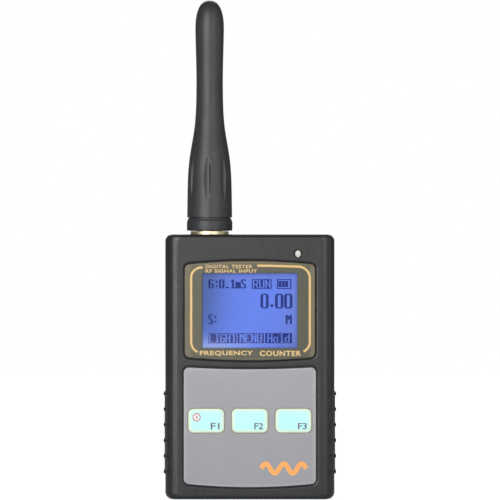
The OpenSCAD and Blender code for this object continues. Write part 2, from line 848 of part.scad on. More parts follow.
// A smooth curve through the points, by Catmull and Rom's rule
function spline_at(p, i, t) = let (a = p[max(i - 1, 0)], b = p[i], c = p[i + 1], d = p[min(i + 2, len(p) - 1)])
    0.5 * (2 * b + (c - a) * t + (2 * a - 5 * b + 4 * c - d) * t * t + (3 * b - a - 3 * c + d) * t * t * t);
function spline(p, steps) = [for (i = [0 : len(p) - 2], s = [0 : steps - 1]) spline_at(p, i, s / steps)];

function sheath_outline() = concat(
    [for (q = spline(sheath_curve, 3)) [q[1] * skirt_r, case_h + q[0] * antenna_h]],
    [for (a = [0 : 9 : 81]) let (out = pow(cos(a), 2 / tip_power), up = pow(sin(a), 2 / tip_power))
        [tip_share * skirt_r * out, case_h + antenna_h * (tip_start + (1 - tip_start) * up)]],
    [[0, case_h + antenna_h]]
);

module antenna_sheath() {
    core_top = case_h + antenna_h - 13;
    color(rubber_black)
    difference() {
        translate([jack_x, 0, 0]) rotate_extrude()
            polygon(concat(sheath_outline(), [[0, skirt_bottom]]));
        rod_z(skirt_bore_r, skirt_bottom - 1, shoulder_z);
        rod_z(lip_tongue[0] + 0.1, skirt_bottom - 1, skirt_bottom + lip_tongue[1] + 0.1);
        rod_z(6, shoulder_z - 1, shoulder_z + 1.8);
        rod_z(3.6, shoulder_z, shoulder_z + 8.6);
        rod_z(3.1, shoulder_z, core_top);
        for (i = [0 : flute_count - 1])
            translate([jack_x, 0, 0]) rotate([0, 0, flute_turn + i * 360 / flute_count]) flute_cutter();
    }
}

// A scoop on the +X side, deepest in the middle: part of a ring that curves away at both ends, and leans with the skirt
module flute_cutter() {
    sweep_r = 75;
    tube_r = 1.6;
    angle = 16;
    lean = 2.6;
    deepest = 0.965 * skirt_r - 0.65;
    translate([deepest, 0, case_h + 0.243 * antenna_h])
        rotate([0, -lean, 0]) translate([tube_r + sweep_r, 0, 0]) rotate([90, 0, 0])
            rotate([0, 0, 180 - angle / 2]) rotate_extrude(angle = angle) translate([sweep_r, 0]) circle(tube_r);
}

module antenna_core() {
    color([0.85, 0.83, 0.72]) rod_z(2, shoulder_z + 8.6, case_h + antenna_h - 14);
}

// The radiator: a helix of copper wire round the core, as one swept tube
module antenna_coil() {
    turns = 12;
    steps = 12;
    sides = 6;
    wire_r = 0.35;
    coil_r = 2.5;
    z0 = shoulder_z + 9.5;
    pitch = (case_h + antenna_h - 15 - z0) / turns;
    count = turns * steps;
    climb = atan(pitch / (2 * PI * coil_r));
    points = [for (i = [0 : count], s = [0 : sides - 1])
        let (a = 360 * i / steps, b = 360 * s / sides, out = wire_r * cos(b), up = wire_r * sin(b))
        [
            jack_x + (coil_r + out) * cos(a) + up * sin(climb) * sin(a),
            (coil_r + out) * sin(a) - up * sin(climb) * cos(a),
            z0 + pitch * i / steps + up * cos(climb)
        ]];
    faces = concat(
        [[for (s = [0 : sides - 1]) s]],
        [for (i = [0 : count - 1], s = [0 : sides - 1], upper = [0, 1])
            let (n = (s + 1) % sides, a = i * sides, b = (i + 1) * sides)
            upper == 1 ? [a + s, b + n, a + n] : [a + s, b + s, b + n]],
        [[for (s = [sides - 1 : -1 : 0]) count * sides + s]]
    );
    color(copper) polyhedron(points = points, faces = faces);
}

front_cover();
rear_cover();
battery_door();
case_screws();
display_bezel();
display_lens();
keypad_panel();
key(-1);  // key_f1
key(0);  // key_f2
key(1);  // key_f3
switch_plunger(-1);  // switch_plunger_f1
switch_plunger(0);  // switch_plunger_f2
switch_plunger(1);  // switch_plunger_f3
tact_switch(-1);  // tact_switch_f1
tact_switch(0);  // tact_switch_f2
tact_switch(1);  // tact_switch_f3
indicator_led();
lcd_glass();
lcd_frame();
lcd_backlight();
lcd_flex();
main_pcb();
pcb_screws();
microcontroller();
prescaler_chip();
reference_oscillator();
voltage_regulator();
rf_shield();
filter_capacitors();
charge_socket();
battery_pack();
battery_contacts();
rating_label();
jack_body();
jack_insulator();
jack_contact();
jack_nut();
jack_lock_washer();
rf_lead();
bayonet_spring_washer();
bayonet_ring();
collar_cover();
plug_body();
plug_insulator();
plug_pin();
plug_gasket();
antenna_sheath();
antenna_core();
antenna_coil();
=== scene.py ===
"""Looks of the hand-held frequency counter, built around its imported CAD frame.

Lengths are in millimetres, in the frame of the CAD model: X to the right, Y away from the camera, Z up.
Those of the stage, the lights and the camera are in metres.
"""

import math

import bmesh
import bpy
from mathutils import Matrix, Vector
from mathutils.geometry import delaunay_2d_cdt
from mathutils.kdtree import KDTree


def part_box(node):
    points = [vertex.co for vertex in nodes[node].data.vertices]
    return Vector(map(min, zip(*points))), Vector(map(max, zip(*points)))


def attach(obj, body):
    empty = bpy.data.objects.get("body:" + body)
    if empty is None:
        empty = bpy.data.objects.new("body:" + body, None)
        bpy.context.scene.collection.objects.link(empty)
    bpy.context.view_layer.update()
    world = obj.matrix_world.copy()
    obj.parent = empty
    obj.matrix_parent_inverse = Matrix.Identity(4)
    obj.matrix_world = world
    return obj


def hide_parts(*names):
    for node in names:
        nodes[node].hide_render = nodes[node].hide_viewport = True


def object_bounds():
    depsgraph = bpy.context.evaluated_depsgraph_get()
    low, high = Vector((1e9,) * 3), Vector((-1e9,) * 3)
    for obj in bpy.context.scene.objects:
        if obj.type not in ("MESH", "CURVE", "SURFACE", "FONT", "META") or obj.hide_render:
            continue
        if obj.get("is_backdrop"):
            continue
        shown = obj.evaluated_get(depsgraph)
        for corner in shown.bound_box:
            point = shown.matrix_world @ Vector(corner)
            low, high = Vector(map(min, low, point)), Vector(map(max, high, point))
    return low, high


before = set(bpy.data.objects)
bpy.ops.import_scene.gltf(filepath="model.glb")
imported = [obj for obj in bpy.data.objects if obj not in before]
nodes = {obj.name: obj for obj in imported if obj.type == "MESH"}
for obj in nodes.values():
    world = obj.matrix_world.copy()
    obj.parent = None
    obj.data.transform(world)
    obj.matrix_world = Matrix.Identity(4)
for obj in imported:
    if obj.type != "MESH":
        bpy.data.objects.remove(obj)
bpy.context.view_layer.update()
cad_low, cad_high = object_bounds()
MM = 0.001
SHARP_ANGLE = 38  # degrees between two faces, above which their edge is shaded sharp and can be eased
SUNK = 0.01  # how far a print's base lies under the face that carries it
LOOKS = {}  # every material by its name


# ---------- materials ----------


def linear(red, green, blue):
    """A colour given as sRGB bytes, as linear RGBA."""
    done = [c / 255 / 12.92 if c < 11 else ((c / 255 + 0.055) / 1.055) ** 2.4 for c in (red, green, blue)]
    return (*done, 1.0)


def scaled(color, factor):
    return (*[min(1.0, c * factor) for c in color[:3]], 1.0)


class Look:
    """A material with one Principled shader, and the nodes that feed it."""

    def __init__(self, name, **sockets):
        self.material = bpy.data.materials.new(name)
        self.material.use_nodes = True
        self.tree = self.material.node_tree
        self.shader = self.tree.nodes["Principled BSDF"]
        for socket, value in sockets.items():
            self.shader.inputs[socket.replace("_", " ").title().replace("Ior", "IOR")].default_value = value
        self.place = self.node("ShaderNodeTexCoord").outputs["Object"]
        LOOKS[name] = self.material

    def node(self, kind, inputs=None, **settings):
        made = self.tree.nodes.new(kind)
        for key, value in settings.items():
            setattr(made, key, value)
        for key, value in (inputs or {}).items():
            if isinstance(value, bpy.types.NodeSocket):
                self.tree.links.new(value, made.inputs[key])
            else:
                made.inputs[key].default_value = value
        return made

    def link(self, output, socket):
        self.tree.links.new(output, self.shader.inputs[socket])

    def stretched(self, scale):
        return self.node("ShaderNodeMapping", {"Vector": self.place, "Scale": scale}).outputs["Vector"]

    def noise(self, scale, detail=3.0, rough=0.55, vector=None):
        inputs = {"Vector": vector or self.place, "Scale": scale, "Detail": detail, "Roughness": rough}
        return self.node("ShaderNodeTexNoise", inputs).outputs["Fac"]

    def spread(self, value, low, high, source=(0.3, 0.7)):
        """A value from the source range, as one from low to high."""
        inputs = {"Value": value, 1: source[0], 2: source[1], 3: low, 4: high}
        return self.node("ShaderNodeMapRange", inputs).outputs["Result"]

    def mix(self, factor, first, second, blend="MIX"):
        made = self.node("ShaderNodeMix", data_type="RGBA", blend_type=blend)
        for socket, value in zip((made.inputs[0], made.inputs[6], made.inputs[7]), (factor, first, second)):
            if isinstance(value, bpy.types.NodeSocket):
                self.tree.links.new(value, socket)
            else:
                socket.default_value = value
        return made.outputs[2]

    def dimmed(self, color, factor):
        """A colour times a factor."""
        grey = self.node("ShaderNodeCombineColor", {"Red": factor, "Green": factor, "Blue": factor})
        return self.mix(1.0, color, grey.outputs["Color"], "MULTIPLY")

    def bump(self, height, depth, strength, under=None):
        inputs = {"Height": height, "Distance": depth * MM, "Strength": strength}
        if under:
            inputs["Normal"] = under
        return self.node("ShaderNodeBump", inputs).outputs["Normal"]

    def edges(self, radius):
        """About 1 on an edge and 0 away from edges."""
        near = self.node("ShaderNodeBevel", {"Radius": radius * MM}, samples=6).outputs["Normal"]
        face = self.node("ShaderNodeNewGeometry").outputs["Normal"]
        dot = self.node("ShaderNodeVectorMath", {0: near, 1: face}, operation="DOT_PRODUCT").outputs["Value"]
        return self.spread(dot, 1.0, 0.0, (0.72, 0.98))


def finish(
    name, color, rough, mottle=0.06, mottle_scale=160, rough_spread=0.05, grain=None, wear=None, tint=None,
    **sockets
):
    """A moulded, printed or machined surface.

    grain is (scale per metre, depth in mm, strength), wear is (lightening, radius in mm), and tint names a
    vertex colour that takes the place of color.
    """
    look = Look(name, **sockets)
    cloud = look.noise(mottle_scale)
    if tint:
        base = look.node("ShaderNodeVertexColor", layer_name=tint).outputs["Color"]
        base = look.dimmed(base, look.spread(cloud, 1 - mottle, 1 + mottle))
    else:
        base = look.mix(look.spread(cloud, 0, 1), scaled(color, 1 - mottle), scaled(color, 1 + mottle))
    roughness = look.spread(look.noise(mottle_scale * 2.3, 2.0), rough - rough_spread, rough + rough_spread)
    if wear:
        rubbed = look.node(
            "ShaderNodeMath",
            {0: look.edges(wear[1]), 1: look.spread(look.noise(420, 4.0), 0.2, 1.0, (0.4, 0.65))},
            operation="MULTIPLY",
        ).outputs["Value"]
        base = look.mix(rubbed, base, scaled(color, wear[0]))
    look.link(base, "Base Color")
    look.link(roughness, "Roughness")
    if grain:
        look.link(look.bump(look.noise(grain[0], 2.0), grain[1], grain[2]), "Normal")


def lit_display(name):
    """The display's lit field: a glow that varies over the glass, with painted shade at its edges, from a
    vertex colour.
    """
    look = Look(
        name, roughness=0.4, emission_strength=1.0, base_color=(0.004, 0.006, 0.02, 1), specular_ior_level=0.0
    )
    field_color = look.node("ShaderNodeVertexColor", layer_name="tint").outputs["Color"]
    shade = look.spread(look.noise(900, 1.0), 0.97, 1.03)
    look.link(look.dimmed(field_color, shade), "Emission Color")


def circuit_board(name):
    """Green solder mask over copper tracks that run both ways."""
    look = Look(name, coat_weight=0.4)
    upright = look.node(
        "ShaderNodeVectorRotate", {"Vector": look.place, "Angle": math.pi / 2}, rotation_type="X_AXIS"
    ).outputs["Vector"]
    tracks = look.node(
        "ShaderNodeTexBrick",
        {"Vector": upright, "Color1": (0, 0, 0, 1), "Color2": (0.25, 0.25, 0.25, 1), "Mortar": (1, 1, 1, 1),
         "Scale": 160.0, "Mortar Size": 0.035, "Brick Width": 0.9, "Row Height": 0.3},
    ).outputs["Color"]
    look.link(look.mix(tracks, (0.008, 0.075, 0.022, 1), (0.03, 0.2, 0.05, 1)), "Base Color")
    look.link(look.spread(look.noise(500), 0.28, 0.42), "Roughness")
    look.link(look.bump(tracks, 0.03, 0.5), "Normal")


def wound(name, color, pitch, rough=(0.16, 0.3)):
    """Metal with fine turned or drawn lines across Z."""
    look = Look(name, metallic=1.0)
    lines = look.noise(1.0, 3.0, 0.6, look.stretched((60, 60, 1000 / pitch)))
    look.link(look.mix(look.spread(lines, 0, 1), scaled(color, 0.9), scaled(color, 1.06)), "Base Color")
    look.link(look.spread(look.noise(350), *rough), "Roughness")
    look.link(look.bump(lines, 0.01, 0.35), "Normal")


def rubber(name, color, rough):
    """Soft moulded rubber: a fine grain with faint streaks along Z, as the mould's polish leaves."""
    look = Look(name)
    streaks = look.noise(1.0, 4.0, 0.6, look.stretched((1500, 1500, 70)))
    cloud = look.noise(120)
    base = look.mix(look.spread(cloud, 0, 1), scaled(color, 0.92), scaled(color, 1.08))
    base = look.mix(look.spread(streaks, 0, 0.5, (0.35, 0.7)), base, scaled(color, 1.25))
    look.link(base, "Base Color")
    look.link(look.spread(streaks, rough - 0.06, rough + 0.08), "Roughness")
    grain = look.bump(look.noise(3200, 2.0), 0.02, 0.35)
    look.link(look.bump(streaks, 0.02, 0.25, grain), "Normal")


finish("case_plastic", linear(37, 37, 38), 0.3, 0.06, 70, 0.04, (2600, 0.03, 0.32), (1.5, 0.25))
finish("display_panel", None, 0.5, 0.04, 90, 0.05, (2200, 0.015, 0.25), tint="tint")
finish("keypad_grey", None, 0.5, 0.025, 120, 0.05, (2400, 0.015, 0.25), tint="tint")
finish(
    "key_cyan", None, 0.38, 0.01, 300, 0.04, (2600, 0.01, 0.2), tint="tint",
    subsurface_weight=0.15, subsurface_radius=(0.001, 0.001, 0.001), subsurface_scale=0.5,
)
finish("switch_plastic", linear(40, 40, 42), 0.5, grain=(2000, 0.02, 0.3))
finish("led_white", linear(206, 204, 198), 0.3, 0.02, grain=(1500, 0.005, 0.2), coat_weight=0.3)
finish("led_holder", linear(30, 30, 30), 0.45, grain=(2000, 0.02, 0.3))
finish("lcd_glass", linear(96, 110, 190), 0.12, 0.03, grain=(900, 0.002, 0.1))
finish("white_plastic", linear(232, 230, 222), 0.42, 0.03, grain=(2000, 0.02, 0.3))
finish("backlight", linear(225, 232, 245), 0.35, 0.03, grain=(1400, 0.01, 0.2))
finish("flex_amber", linear(196, 134, 46), 0.3, 0.12, 700, grain=(1500, 0.01, 0.3))
finish("plain_steel", linear(196, 197, 200), 0.28, 0.05, 300, 0.06, (1800, 0.01, 0.25), metallic=1.0)
finish(
    "dark_steel", linear(92, 92, 95), 0.34, 0.08, 500, 0.06, (1800, 0.01, 0.3), (2.0, 0.12), metallic=1.0
)
finish("chip_black", linear(34, 34, 36), 0.5, 0.1, 600, grain=(3000, 0.02, 0.4))
finish("ceramic", linear(172, 132, 84), 0.5, 0.12, 900, grain=(2500, 0.02, 0.4))
finish("battery_wrap", linear(36, 66, 138), 0.3, 0.06, 200, grain=(350, 0.05, 0.3), coat_weight=0.3)
finish("label_silver", linear(176, 178, 182), 0.36, 0.04, 500, grain=(1600, 0.01, 0.3), metallic=0.6)
rubber("seal_rubber", linear(176, 84, 52), 0.55)
rubber("antenna_rubber", linear(50, 50, 48), 0.42)
rubber("collar_rubber", linear(46, 47, 51), 0.42)
wound("gold_plate", linear(246, 232, 192), 0.2, (0.36, 0.5))
wound("copper_wire", linear(214, 128, 82), 0.15)
circuit_board("pcb_green")

INK_GRAIN = (2000, 0.01, 0.3)
finish("print_gold", linear(212, 181, 122), 0.4, 0.05, 900, 0.06, (1800, 0.01, 0.3), metallic=0.15)
for name, color in (
    # painted shade along the gold line
    ("painted_shade_brown", linear(112, 88, 52)),
    ("print_dark", linear(92, 84, 100)),
    ("print_red", linear(190, 70, 84)),
):
    finish(name, color, 0.5, 0.05, 900, grain=INK_GRAIN)
finish("print_white", linear(244, 240, 238), 0.5, 0.03, 900, grain=INK_GRAIN)
finish("print_orange", linear(250, 168, 88), 0.45, 0.05, 500, grain=INK_GRAIN)

lit_display("lcd_light")
for name, color in (("lcd_segments", linear(22, 38, 120)), ("lcd_faded", linear(58, 62, 132))):
    finish(
        name, linear(6, 8, 22), 0.5, 0.1, 900,
        specular_ior_level=0.0, emission_color=color, emission_strength=1.0,
    )
Look("clear_lens", transmission_weight=1.0, ior=1.2, base_color=(1, 1, 1, 1), roughness=0.0)

# ---------- CAD nodes that stay ----------

WELD_DISTANCE = 0.002
FLAT_ANGLE = 0.4  # degrees: faces that differ by less are joined before an edge is eased
RECESS_ANGLE = 60  # degrees: a recess's wall turns from the front by more than this
RECESS_HEIGHTS = (3.0, 90.4)  # the display and keypad recesses, without the indicator's hole above them
RIM_RADIUS = 1.0


def geometry_group(name):
    """A geometry node group, as (tree, input node, output node)."""
    tree = bpy.data.node_groups.new(name, "GeometryNodeTree")
    for in_out in ("INPUT", "OUTPUT"):
        tree.interface.new_socket("Geometry", in_out=in_out, socket_type="NodeSocketGeometry")
    return tree, tree.nodes.new("NodeGroupInput"), tree.nodes.new("NodeGroupOutput")


def compared(tree, value, operation, limit):
    """The output of a node that compares a value with a limit."""
    test = tree.nodes.new("FunctionNodeCompare")
    test.data_type, test.operation = "FLOAT", operation
    test.inputs["B"].default_value = limit
    tree.links.new(value, test.inputs["A"])
    return test.outputs[0]


def smoothing_group():
    """A node group that shades every face smooth and keeps edges over SHARP_ANGLE sharp."""
    tree, source, sink = geometry_group("smooth_below_angle")
    all_faces = tree.nodes.new("GeometryNodeSetShadeSmooth")
    some_edges = tree.nodes.new("GeometryNodeSetShadeSmooth")
    some_edges.domain = "EDGE"
    angle = tree.nodes.new("GeometryNodeInputMeshEdgeAngle").outputs[0]
    for start, end in (
        (source.outputs[0], all_faces.inputs["Geometry"]),
        (all_faces.outputs[0], some_edges.inputs["Geometry"]),
        (compared(tree, angle, "LESS_THAN", math.radians(SHARP_ANGLE)), some_edges.inputs["Shade Smooth"]),
        (some_edges.outputs[0], sink.inputs[0]),
    ):
        tree.links.new(start, end)
    return tree


SMOOTH = smoothing_group()


def smooth(obj, weigh=False):
    made = obj.modifiers.new("smooth", "NODES")
    made.node_group = SMOOTH
    if weigh:
        weighted = obj.modifiers.new("weighted", "WEIGHTED_NORMAL")
        weighted.keep_sharp = True
        weighted.weight = 80


def rim_group(face_y, low_z, high_z):
    """A node group that marks the edges where a flat front at face_y drops into a recess.

    Only edges between the two heights are marked.
    """
    tree, source, sink = geometry_group("mark_rims")
    place = tree.nodes.new("ShaderNodeSeparateXYZ")
    tree.links.new(tree.nodes.new("GeometryNodeInputPosition").outputs[0], place.inputs[0])
    angle = tree.nodes.new("GeometryNodeInputMeshEdgeAngle").outputs[0]
    chosen = compared(tree, angle, "GREATER_THAN", math.radians(RECESS_ANGLE))
    for value, operation, limit in (
        (place.outputs["Y"], "LESS_THAN", (face_y + 0.01) * MM),
        (place.outputs["Z"], "GREATER_THAN", low_z * MM),
        (place.outputs["Z"], "LESS_THAN", high_z * MM),
    ):
        both = tree.nodes.new("FunctionNodeBooleanMath")
        tree.links.new(chosen, both.inputs[0])
        tree.links.new(compared(tree, value, operation, limit), both.inputs[1])
        chosen = both.outputs[0]
    store = tree.nodes.new("GeometryNodeStoreNamedAttribute")
    store.data_type, store.domain = "FLOAT", "EDGE"
    store.inputs["Name"].default_value = "bevel_weight_edge"
    store.inputs["Value"].default_value = 1.0
    for start, end in (
        (source.outputs[0], store.inputs["Geometry"]),
        (chosen, store.inputs["Selection"]),
        (store.outputs[0], sink.inputs[0]),
    ):
        tree.links.new(start, end)
    return tree


def rounding(obj, name, width, segments, limit):
    made = obj.modifiers.new(name, "BEVEL")
    made.width = width * MM
    made.segments = segments
    made.limit_method = limit
    made.angle_limit = math.radians(SHARP_ANGLE)
    made.use_clamp_overlap = limit == "ANGLE"
    made.loop_slide = False


def keep(node, look, bevel, rim=None):
    """Gives a CAD node its material, and eases its edges by bevel millimetres.

    rim is a node group that marks the edges to round by RIM_RADIUS.
    """
    obj = nodes[node]
    obj.data.materials.clear()
    obj.data.materials.append(LOOKS[look])
    if "custom_normal" in obj.data.attributes:
        obj.data.attributes.remove(obj.data.attributes["custom_normal"])
    weld = obj.modifiers.new("weld", "WELD")
    weld.merge_threshold = WELD_DISTANCE * MM
    if bevel:
        flat = obj.modifiers.new("flat", "DECIMATE")
        flat.decimate_type = "DISSOLVE"
        flat.angle_limit = math.radians(FLAT_ANGLE)
        if rim:
            marks = obj.modifiers.new("marks", "NODES")
            marks.node_group = rim
            rounding(obj, "rim", RIM_RADIUS, 5, "WEIGHT")
        rounding(obj, "ease", bevel, 2, "ANGLE")
    smooth(obj, weigh=bool(bevel))


def front_of(node):
    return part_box(node)[0].y / MM


rims = rim_group(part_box("front_cover")[0].y / MM, *RECESS_HEIGHTS)
keep("front_cover", "case_plastic", 0.14, rim=rims)
for number in (1, 2, 3):
    keep(f"switch_plunger_f{number}", "switch_plastic", 0.15)
    keep(f"tact_switch_f{number}", "switch_plastic", 0.1)

for name, look, bevel in (
    ("rear_cover", "case_plastic", 0.14),
    ("battery_door", "case_plastic", 0.14),
    ("case_screws", "dark_steel", 0.12),
    ("display_lens", "clear_lens", 0.0),
    ("lcd_glass", "lcd_glass", 0.1),
    ("lcd_frame", "white_plastic", 0.1),
    ("lcd_backlight", "backlight", 0.2),
    ("lcd_flex", "flex_amber", 0.0),
    ("main_pcb", "pcb_green", 0.05),
    ("pcb_screws", "plain_steel", 0.08),
    ("microcontroller", "chip_black", 0.06),
    ("prescaler_chip", "chip_black", 0.06),
    ("reference_oscillator", "plain_steel", 0.2),
    ("voltage_regulator", "chip_black", 0.06),
    ("rf_shield", "plain_steel", 0.08),
    ("filter_capacitors", "ceramic", 0.08),
    ("charge_socket", "plain_steel", 0.08),
    ("battery_pack", "battery_wrap", 0.8),
    ("battery_contacts", "gold_plate", 0.0),
    ("jack_body", "gold_plate", 0.12),
    ("jack_insulator", "white_plastic", 0.12),
    ("jack_contact", "gold_plate", 0.08),
    ("jack_nut", "gold_plate", 0.15),
    ("jack_lock_washer", "plain_steel", 0.08),
    ("rf_lead", "copper_wire", 0.0),
    ("bayonet_spring_washer", "plain_steel", 0.08),
    ("bayonet_ring", "gold_plate", 0.12),
    ("collar_cover", "collar_rubber", 0.1),
    ("plug_body", "gold_plate", 0.1),
    ("plug_insulator", "white_plastic", 0.1),
    ("plug_pin", "gold_plate", 0.15),
    ("plug_gasket", "seal_rubber", 0.08),
    ("antenna_sheath", "antenna_rubber", 0.0),
    ("antenna_core", "white_plastic", 0.2),
    ("antenna_coil", "copper_wire", 0.0),
):
    keep(name, look, bevel)

# ---------- mesh tools ----------


def piece(name, points, faces, look, body, slot=None, stands_for=(), tint=None, weigh=False):
    """One piece from points in mm. tint is a function of a point that gives a linear colour."""
    mesh = bpy.data.meshes.new(name)
    mesh.from_pydata([Vector(p) * MM for p in points], [], faces)
    if tint:
        layer = mesh.color_attributes.new("tint", "FLOAT_COLOR", "POINT")
        for i, p in enumerate(points):
            layer.data[i].color = tint(*p)
    work = bmesh.new()
    work.from_mesh(mesh)
    bmesh.ops.recalc_face_normals(work, faces=work.faces)
    work.to_mesh(mesh)
    work.free()
    mesh.materials.append(LOOKS[look])
    obj = bpy.data.objects.new(name, mesh)
    bpy.context.scene.collection.objects.link(obj)
    smooth(obj, weigh)
    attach(obj, body)
    slot or look
    if stands_for:
        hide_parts(*stands_for)


def rounded(half_w, half_h, radius, corner=8, side=6):
    """A rounded rectangle round the origin, counter-clockwise.

    The number of points depends on corner and side only, so two such loops can be lofted.
    """
    points = []
    for quarter, (sx, sz) in enumerate(((1, 1), (-1, 1), (-1, -1), (1, -1))):
        cx, cz = sx * (half_w - radius), sz * (half_h - radius)
        for i in range(corner + 1):
            a = math.pi / 2 * (quarter + i / corner)
            points.append((cx + radius * math.cos(a), cz + radius * math.sin(a)))
        end = points[-1]
        next_x, next_z = ((-1, 1), (-1, -1), (1, -1), (1, 1))[quarter]
        a = math.pi / 2 * (quarter + 1)
        start = (
            next_x * (half_w - radius) + radius * math.cos(a),
            next_z * (half_h - radius) + radius * math.sin(a),
        )
        dx, dz = start[0] - end[0], start[1] - end[1]
        points += [(end[0] + dx * i / side, end[1] + dz * i / side) for i in range(1, side)]
    return points


def moved(loop, x, z):
    return [(px + x, pz + z) for px, pz in loop]


def inset(loop, distance):
    """A counter-clockwise loop drawn in by a distance, point for point."""
    done = []
    for i, (x, z) in enumerate(loop):
        (ax, az), (bx, bz) = loop[i - 1], loop[(i + 1) % len(loop)]
        dx, dz = bx - ax, bz - az
        size = math.hypot(dx, dz) or 1
        done.append((x - dz / size * distance, z + dx / size * distance))
    return done


def loft(rings, close_ends=True):
    """Faces between rings of equal length, as (points, faces). Each ring is a list of 3-D points."""
    points = [p for ring in rings for p in ring]
    count = len(rings[0])
    faces = [
        (r * count + i, r * count + (i + 1) % count, (r + 1) * count + (i + 1) % count, (r + 1) * count + i)
        for r in range(len(rings) - 1)
        for i in range(count)
    ]
    if close_ends:
        faces.append(tuple(range(count)))
        faces.append(tuple(range(len(points) - count, len(points))))
    return points, faces


def joined(parts):
    """Several (points, faces) as one."""
    points, faces = [], []
    for more, these in parts:
        faces += [tuple(len(points) + i for i in f) for f in these]
        points += more
    return points, faces


def encloses(loop, spot):
    """Whether a point lies inside a loop."""
    inside = False
    for i, (x, z) in enumerate(loop):
        px, pz = loop[i - 1]
        if (z > spot.y) != (pz > spot.y) and spot.x < (px - x) * (spot.y - z) / (pz - z) + x:
            inside = not inside
    return inside


def grid_between(spots, spacing):
    """Points of a square grid over the area of some spots, without those that are close to a spot."""
    near = KDTree(len(spots))
    for i, spot in enumerate(spots):
        near.insert((spot.x, spot.y, 0), i)
    near.balance()
    low_x, low_z = min(p.x for p in spots), min(p.y for p in spots)
    across = int((max(p.x for p in spots) - low_x) / spacing)
    up = int((max(p.y for p in spots) - low_z) / spacing)
    grid = [
        Vector((low_x + i * spacing, low_z + j * spacing)) for i in range(1, across) for j in range(1, up)
    ]
    return [spot for spot in grid if near.find((spot.x, spot.y, 0))[2] > spacing * 0.6]


def plate(outline, holes, profile, back_y, spacing=None):
    """A flat plate as (points, faces).

    profile is a list of (inset, y) from the rim to the flat, and holes are counter-clockwise loops.
    spacing adds a grid of points to the flat, so that a vertex colour can vary over it.
    """
    points, faces = [], []
    flat_ring, back_ring = [], []
    for loop, sign in [(outline, 1)] + [(h, -1) for h in holes]:
        rings = [[(x, back_y, z) for x, z in inset(loop, sign * profile[0][0])]]
        rings += [[(x, y, z) for x, z in inset(loop, sign * depth)] for depth, y in profile]
        first = len(points)
        more, walls = loft(rings, close_ends=False)
        points += more
        faces += [tuple(first + i for i in f) for f in walls]
        count = len(loop)
        back_ring.append(list(range(first, first + count)))
        flat_ring.append(list(range(len(points) - count, len(points))))
    for ring_set, grid in ((flat_ring, spacing), (back_ring, None)):
        ids = [i for ring in ring_set for i in ring]
        rim, *inner = [[(points[i][0], points[i][2]) for i in ring] for ring in ring_set]
        spots = [Vector((points[i][0], points[i][2])) for i in ids]
        edges, at = [], 0
        for ring in ring_set:
            edges += [(at + i, at + (i + 1) % len(ring)) for i in range(len(ring))]
            at += len(ring)
        if grid:
            spots += grid_between(spots, grid)
        flat, _, tris, origin, _, _ = delaunay_2d_cdt(spots, edges, [], 2, 1e-5)
        y = points[ids[0]][1]
        added = {}
        for tri in tris:
            middle = sum((flat[v] for v in tri), Vector((0, 0))) / 3
            if not encloses(rim, middle) or any(encloses(loop, middle) for loop in inner):
                continue
            face = []
            for v in tri:
                known = [o for o in origin[v] if o < len(ids)]
                if known:
                    face.append(ids[known[0]])
                else:
                    if v not in added:
                        added[v] = len(points)
                        points.append((flat[v].x, y, flat[v].y))
                    face.append(added[v])
            faces.append(tuple(face))
    return points, faces


def arc_loop(half_w, top, bottom, sag_top, sag_bottom, corner):
    """The outline of a panel with curved upper and lower edges and rounded corners, counter-clockwise."""
    steps = 24
    corner_steps = 9

    def upper(x):
        return top - sag_top * (x / half_w) ** 2

    def lower(x):
        return bottom + sag_bottom * (x / half_w) ** 2

    def turn(x, z, start):
        """The points of a corner round (x, z), without its ends."""
        angles = [start + math.pi / 2 * i / corner_steps for i in range(1, corner_steps)]
        return [(x + corner * math.cos(a), z + corner * math.sin(a)) for a in angles]

    reach = half_w - corner
    low, high = lower(reach) + corner, upper(reach) - corner
    across = [-reach + 2 * reach * i / steps for i in range(steps + 1)]
    back = [reach - 2 * reach * i / steps for i in range(steps + 1)]
    return [
        *[(x, lower(x)) for x in across],
        *turn(reach, low, -math.pi / 2),
        *[(half_w, low + (high - low) * i / steps) for i in range(steps + 1)],
        *turn(reach, high, 0),
        *[(x, upper(x)) for x in back],
        *turn(-reach, high, math.pi / 2),
        *[(-half_w, high - (high - low) * i / steps) for i in range(steps + 1)],
        *turn(-reach, low, math.pi),
    ]


def corner_arc(x, z, radius, start, end):
    """Points of an arc round (x, z), from one angle to another in degrees."""
    steps = 10
    turn = [math.radians(start + (end - start) * i / steps) for i in range(steps + 1)]
    return [(x + radius * math.cos(a), z + radius * math.sin(a)) for a in turn]


def wave(x, z, length, height, turns, steps):
    """A sine wave from (x, z), as a path of (x, z) points."""
    return [
        (x + length * i / steps, z + height * math.sin(2 * math.pi * turns * i / steps))
        for i in range(steps + 1)
    ]


def turned(profile, x, z, squeeze=1.0):
    """A ring for each (radius, y) of a profile, round an axis along Y."""
    count = 40
    turn = [2 * math.pi * i / count for i in range(count)]
    return [[(x + r * squeeze * math.cos(a), y, z + r * math.sin(a)) for a in turn] for r, y in profile]


def square_bar(x, z, half, y0, y1):
    """A square bar along Y, as (points, faces)."""
    corners = ((x - half, z - half), (x + half, z - half), (x + half, z + half), (x - half, z + half))
    return loft([[(px, y, pz) for px, pz in corners] for y in (y0, y1)])


